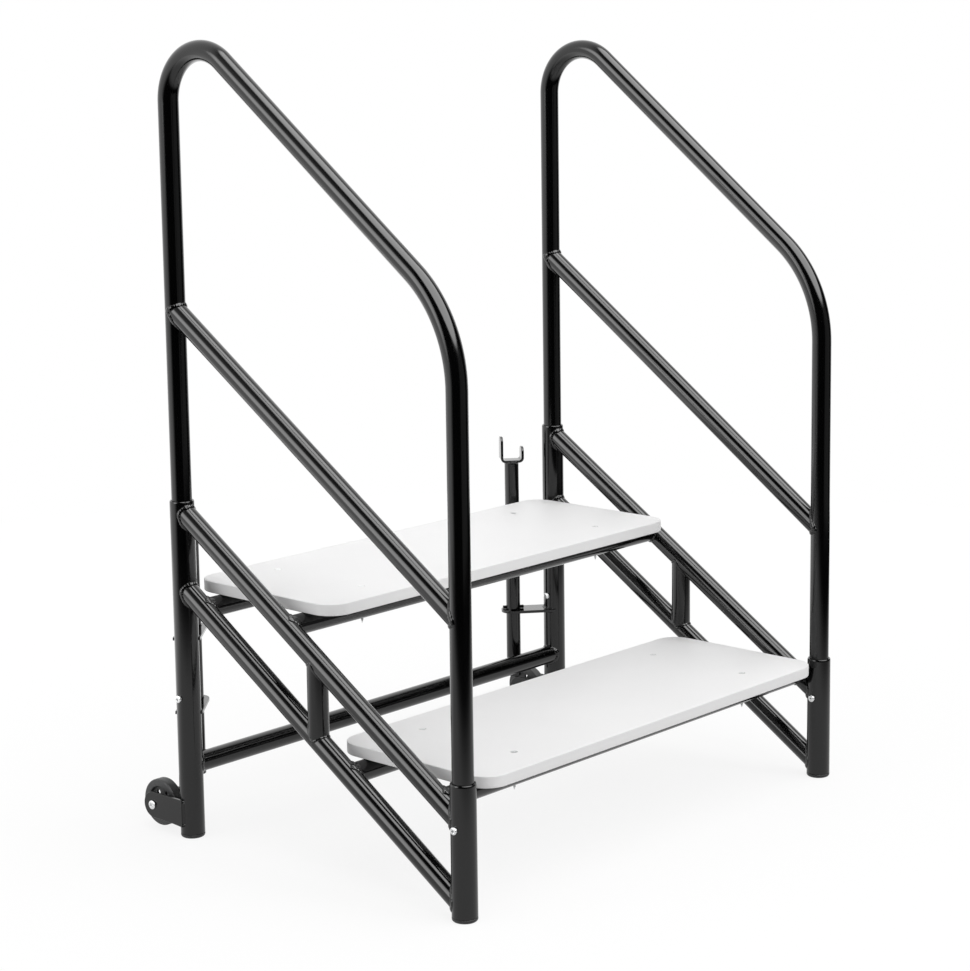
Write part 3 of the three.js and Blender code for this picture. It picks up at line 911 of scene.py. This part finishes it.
# Axle bolts: an 8 mm zinc bolt through each wheel and its two plates, with a low round head and a
# cross recess on the outside, and a hexagon nut on its threaded end.
bolt_head_height = 0.0035
bolt_head_edge = 0.0015
bolt_head_bevel = 0.0003
bolt_crown = 0.000375
bolt_crown_row = 0.6, 0.0001
bolt_pitch = 0.00125
bolt_thread_depth = 0.0006
bolt_thread_rows = 64
bolt_thread_end = 0.0008
bolt_point, bolt_point_rows = 0.0004, 6
bolt_recess_span, bolt_recess_depth = 0.0080, 0.0026
bolt_turn = radians(35)
nut_flats = 0.013
nut_chamfer, nut_chamfer_start = 0.0011, 0.0001
nut_bevel, nut_bevel_depth = 0.0007, 0.00044
past_corner = 0.0002

low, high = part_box("axle_bolt_left")
bolt_length = high.x - low.x
bolt_head_radius = (high.z - low.z) / 2
bolt_head_round = [
    (bolt_head_radius - bolt_head_edge * (1 - cos(angle)),
     -bolt_crown - bolt_head_edge * (1 - sin(angle))) for angle in quarter(7)]
bolt_end = [
    (axle_radius - bolt_thread_depth - bolt_point * max(0, 1 - row / bolt_point_rows),
     row * bolt_pitch / thread_rows - bolt_length)
    for row in range(bolt_thread_rows)]
bolt_thread_top = bolt_end[-1][1]
axle_bolt = cut_with(
    shaped("axle_bolt", turned([
        (0, -bolt_length), *bolt_end, (axle_radius, bolt_thread_top + bolt_thread_end),
        (axle_radius, -bolt_head_height), (bolt_head_radius - bolt_head_bevel, -bolt_head_height),
        (bolt_head_radius, bolt_head_bevel - bolt_head_height), *bolt_head_round,
        ((bolt_head_radius - bolt_head_edge) * bolt_crown_row[0], -bolt_crown_row[1]), (0, 0)],
        turns=64, ridge=thread(bolt_pitch, bolt_thread_depth, bolt_thread_top)), crease=40),
    cross_recess(0, bolt_recess_span, bolt_recess_depth))

low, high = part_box("axle_nut_left")
nut_height = high.x - low.x
nut_corner = nut_flats / 2 / cos(radians(30))
hexagon = turned([(0, 0), (nut_corner, 0), (nut_corner, nut_height), (0, nut_height)], turns=6)
half_nut = [
    (axle_radius, nut_bevel_depth), (axle_radius + nut_bevel, 0),
    (nut_flats / 2 - nut_chamfer_start, 0), (nut_corner + past_corner, nut_chamfer)]
whole_nut = half_nut + [(wide, nut_height - up) for wide, up in reversed(half_nut)]
rounding = turned(whole_nut, turns=72)
axle_nut = cut_with(shaped("axle_nut", hexagon), shaped("nut_rounding", rounding), "INTERSECT")
for side, way in sides.items():
    axle = middle(f"wheel_{side}")
    outward = Matrix.Rotation(way * radians(90), 4, "Y")
    low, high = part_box(f"axle_bolt_{side}")
    set_piece(
        f"axle_bolt_{side}_turned", axle_bolt, bright_zinc, "frame",
        f"axle_bolt_{side}",
        at(high.x if way > 0 else low.x, axle.y, axle.z)
        @ outward @ Matrix.Rotation(bolt_turn, 4, "Z"))
    low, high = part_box(f"axle_nut_{side}")
    set_piece(
        f"axle_nut_{side}_hexagon", axle_nut, bright_zinc, "frame",
        f"axle_nut_{side}",
        at(low.x if way > 0 else high.x, axle.y, axle.z) @ outward)


# Hook guides: two 5 mm steel plates on the stage side of each rear leg, hollowed to hug the leg,
# welded to it, and bored for the hook's post to slide in.
post_radius = 0.0127
guide_margin = 0.0088
guide_edge = 0.0006
guide_seam = 75


def leg_to_post(side):
    """The middles of a rear leg and of its hook post, and the heading from one to the other."""
    leg, post = middle(f"rear_leg_{side}"), middle(f"hook_post_{side}")
    return leg, post, atan2(post.y - leg.y, post.x - leg.x)


for side in sides:
    leg, post, heading = leg_to_post(side)
    reach = (post - leg).to_2d().length
    guide_end = post_radius + guide_margin
    hug = leg_radius + weld_bite
    outline = [Vector((0, -guide_end))]
    outline += arc(reach, 0, guide_end, -90, 90, steps=40) + [Vector((0, guide_end))]
    outline += arc(0, 0, hug, 90, -90, steps=40)
    for level in ("lower", "upper"):
        node = f"{level}_guide_{side}"
        low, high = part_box(node)
        placed = at(leg.x, leg.y, 0) @ Matrix.Rotation(heading, 4, "Z")
        bore = round_hole(reach, 0, post_radius + running_gap, steps=48)
        steel = plate([outline, bore], low.z, high.z, guide_edge)
        even_faces(set_piece(
            f"{node}_steel", shaped(node, steel), gloss_black, "frame", node, placed))
        beads = []
        rows = ripple_rows * round(leg_radius * radians(2 * guide_seam) / ripple_pitch)
        seam = arc(0, 0, leg_radius, -guide_seam, guide_seam, rows)
        for height, way in ((high.z, 1), (low.z, -1)):
            path = [spot.to_3d() + Vector((0, 0, height)) for spot in seam]
            lean = [Vector((spot.x, spot.y, way * leg_radius)).normalized() for spot in seam]
            beads.append(weld_bead(path, lean, small_weld, closed=False))
        set_welds(f"{node}_welds", beads, "frame", placed)


# Hook posts: 1 inch steel tube, gloss black, that slides up and down in the two guides. A stop pin
# through each post rests on its lower guide and carries the hook.
post_wall = 0.002
pin_radius = 0.003
pin_chamfer = 0.0006
pin_length = 0.038

for side in sides:
    leg, post, heading = leg_to_post(side)
    low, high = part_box(f"hook_post_{side}")
    bore = post_radius - post_wall
    tube = turned([
        (bore, low.z + cut_edge), (bore + cut_edge, low.z), (post_radius - cut_edge, low.z),
        (post_radius, low.z + cut_edge), (post_radius, high.z), (bore, high.z)], turns=80)
    set_piece(
        f"hook_post_{side}_tube", shaped(f"hook_post_{side}", tube), gloss_black, f"hook_{side}",
        f"hook_post_{side}", at(post.x, post.y, 0))
    half = pin_length / 2
    pin = turned([
        (0, -half), (pin_radius - pin_chamfer, -half), (pin_radius, pin_chamfer - half),
        (pin_radius, half - pin_chamfer), (pin_radius - pin_chamfer, half), (0, half)], turns=40)
    set_piece(
        f"stop_pin_{side}_rod", shaped(f"stop_pin_{side}", pin), gloss_black, f"hook_{side}",
        f"stop_pin_{side}",
        Matrix.Translation(middle(f"stop_pin_{side}")) @ Matrix.Rotation(heading, 4, "Z")
        @ Matrix.Rotation(radians(90), 4, "Y"))


# Hook forks: a flat steel bar bent to a U, with round tips and one arm longer than the other. It is
# welded on top of the post and takes the stage's lower frame tube. The left hook is turned about.
fork_opening = 0.0326
fork_bar = 0.0045
fork_width = 0.026
fork_bend = 0.004
fork_tip_radius = 0.010
fork_short_arm = 0.0278
fork_edge = 0.0008
fork_edge_rows = 0.3, 1, 1.2


def bar_width(from_tip):
    """Half the bar's width at a distance from its round-cornered tip."""
    inside = max(fork_tip_radius - from_tip, 0)
    return fork_width / 2 - fork_tip_radius + sqrt(fork_tip_radius ** 2 - inside ** 2)


def fork_shape(base, long_top, short_top):
    """Points and faces of the U, in the plane of X and Z, with its long arm at positive X."""
    arm = (fork_opening + fork_bar) / 2
    seat = base + fork_bar / 2
    corners = [Vector((x, 0, z)) for x, z in (
        (arm, long_top), (arm, seat), (-arm, seat), (-arm, short_top))]
    line = bent_line(corners, [fork_bend + fork_bar / 2] * 2)
    first, second, clear = (fork_edge * share for share in fork_edge_rows)
    tips = [fork_tip_radius * (1 - cos(angle)) for angle in quarter(12)]
    tips = [first, second] + [tip for tip in tips if tip > clear]
    (start, down), *bends, (end, up) = line
    line = [(start, down), *[(start + down * tip, down) for tip in tips], *bends,
            *[(end - up * tip, up) for tip in reversed(tips)], (end, up)]
    whole = sum((after[0] - before[0]).length for before, after in zip(line, line[1:]))
    across = Vector((0, 1, 0))
    points, gone = [], 0
    for row, (spot, way) in enumerate(line):
        if row:
            gone += (spot - line[row - 1][0]).length
        from_tip = min(gone, whole - gone)
        tucked = fork_edge - sqrt(max(fork_edge ** 2 - max(fork_edge - from_tip, 0) ** 2, 0))
        half_thick = fork_bar / 2 - tucked
        half_wide = bar_width(from_tip) - tucked
        over = way.cross(across)
        soft = min(fork_edge, half_thick, half_wide)
        for start_angle, side_x, side_y in ((0, 1, 1), (90, -1, 1), (180, -1, -1), (270, 1, -1)):
            x, y = side_x * (half_thick - soft), side_y * (half_wide - soft)
            for corner in arc(x, y, soft, start_angle, start_angle + 90, steps=3):
                points.append(spot + corner.x * over + corner.y * across)
    return points, wrapped(len(line), len(points) // len(line), closed=False)


for side in sides:
    node = f"hook_fork_{side}"
    low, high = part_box(node)
    leg, post, heading = leg_to_post(side)
    post_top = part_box(f"hook_post_{side}")[1].z
    about = pi if side == "left" else 0
    placed = at(post.x, post.y, 0) @ Matrix.Rotation(heading + about, 4, "Z")
    fork = shaped(node, fork_shape(low.z, high.z, low.z + fork_short_arm), crease=40)
    even_faces(set_piece(
        f"{node}_bar", fork, gloss_black, f"hook_{side}", node, placed))
    rows = ripple_rows * round(2 * pi * post_radius / ripple_pitch)
    seam = arc(0, 0, post_radius, 0, 360, rows)[:-1]
    path = [spot.to_3d() + Vector((0, 0, post_top)) for spot in seam]
    lean = [Vector((spot.x, spot.y, -post_radius)).normalized() for spot in seam]
    set_welds(f"{node}_weld", [weld_bead(path, lean, small_weld)], f"hook_{side}", placed)


# Studio: a round white paper floor under one large softbox, above and in front of the stairs, with
# a weak window light from the left. The gloss of the tubes shows both, a white wall behind, and a
# room that is dark in front but for a faint glow, where the paper ends. In the gloss the floor
# carries painted light: a painted fall-off to dark towards its edge, painted light towards the back
# and painted shade at the front. Light bounced off the floor comes from a painted grey copy of it,
# for painted shade on the stairs' sides and undersides.
floor_radius, floor_depth = 2.6, 0.02
# In the gloss the floor is painted: a painted fall-off of light between these distances from its
# middle, painted light towards the back and painted shade at the front.
painted_falloff_middle = Vector((0.0, 1.0, 0.0))
painted_falloff_from, painted_falloff_full = 1.75, 2.65
far_painted_light_from, far_painted_light_full = 0.3, 1.5
near_painted_shade, far_painted_light = 0.15, 1.1
# The grey is a painted shade copy of the white paper. Only light bounced onto the stairs sees it.
paper_white, painted_shade_grey = 0.97, (0.60, 0.60, 0.60, 1)
paper_glow = 0.85
softbox_way = Vector((0.074, -0.525, 0.848))
softbox_reach, softbox_edge = radians(36.5), radians(5)
softbox_shine, softbox_power = 4.6, 0.54
window_way = Vector((-0.904, 0.311, 0.292))
window_from, window_full = 0.950, 0.985
window_shine, window_power, window_spread = 2.7, 0.19, radians(40)
wall_way = Vector((0.174, 0.985, 0.0))
wall_from, wall_full, wall_shine = -0.20, 0.42, 1.35
front_way = Vector((0.30, -0.94, -0.16))
front_from, front_full, front_shine = 0.80, 0.92, 0.20
light_in_front, light_behind = 0.49, 0.62


def along(place, way):
    """How far a place or a direction reaches along a way."""
    return place.node("VectorMath", {"operation": "DOT_PRODUCT"}, {0: place, 1: way}, "Value")


floor = new_object("studio_floor", shaped("studio_floor", turned(
    [(0, -floor_depth), (floor_radius, -floor_depth), (floor_radius, 0), (0, 0)], turns=128)))
paper = bpy.data.materials.new("white_paper")
paper.use_nodes = True
paper.node_tree.nodes.clear()
wires = Wire(paper.node_tree)
spot = wires.node("TexCoord", {}, {}, "Object")
camera_ray = wires.node("LightPath", {}, {}, "Is Camera Ray")
glossy_ray = wires.node("LightPath", {}, {}, "Is Glossy Ray")
glass_ray = wires.node("LightPath", {}, {}, "Is Transmission Ray")
seen = wires.math("MAXIMUM", camera_ray, wires.math("MAXIMUM", glossy_ray, glass_ray))
out = spot.node("VectorMath", {"operation": "DISTANCE"}, {0: spot, 1: painted_falloff_middle}, "Value")
# Painted fall-off, painted light and painted shade on the floor, for glossy rays only; the camera
# sees it evenly white.
lit = 1 - glossy_ray * above(out, painted_falloff_from, painted_falloff_full)
far_painted_mask = above(along(spot, Vector((0, 1, 0))), far_painted_light_from, far_painted_light_full)
glow = wires.node("Emission", {}, {
    "Color": (1, 1, 1, 1),
    "Strength": lit * (1 + glossy_ray * (far_painted_light * far_painted_mask - near_painted_shade))})
shown = wires.node("MixShader", {}, {
    0: paper_glow, 1: wires.node("BsdfDiffuse", {}, {"Color": paper_white * lit}), 2: glow})
# A painted grey copy of the floor for bounced light, giving painted shade on the stairs' sides and
# undersides.
painted_shade_bounce = wires.node("BsdfDiffuse", {}, {"Color": painted_shade_grey})
wires.node("OutputMaterial", {}, {
    "Surface": wires.node("MixShader", {}, {0: seen, 1: painted_shade_bounce, 2: shown})})
floor.data.materials.append(paper)

room = bpy.data.worlds.new("room")
room.use_nodes = True
room.node_tree.nodes.clear()
wires = Wire(room.node_tree)
direction = wires.node("TexCoord", {}, {}, "Generated")
camera_ray = wires.node("LightPath", {}, {}, "Is Camera Ray")
glossy_ray = wires.node("LightPath", {}, {}, "Is Glossy Ray")
behind = along(direction, wall_way)
in_gloss = (
    wall_shine * above(behind, wall_from, wall_full)
    + window_shine * above(along(direction, window_way), window_from, window_full)
    + softbox_shine * above(
        along(direction, softbox_way),
        cos(softbox_reach + softbox_edge), cos(softbox_reach - softbox_edge))
    + front_shine * above(along(direction, front_way), front_from, front_full))
in_light = light_in_front + (light_behind - light_in_front) * above(behind, -1, 1)
strength = in_light + glossy_ray * (in_gloss - in_light)
strength = strength + camera_ray * (1 - strength)
wires.node("OutputWorld", {}, {
    "Surface": wires.node("Background", {}, {"Color": (1, 1, 1, 1), "Strength": strength})})
bpy.context.scene.world = room

for name, way, power, spread in (
        ("softbox", softbox_way, softbox_power, 2 * softbox_reach),
        ("window_light", window_way, window_power, window_spread)):
    sun = bpy.data.lights.new(name, "SUN")
    sun.energy = power * pi
    sun.angle = spread
    lamp = new_object(name, sun)
    lamp.rotation_mode = "QUATERNION"
    lamp.rotation_quaternion = way.to_track_quat("Z", "Y")

bpy.context.scene.view_settings.view_transform = "Standard"
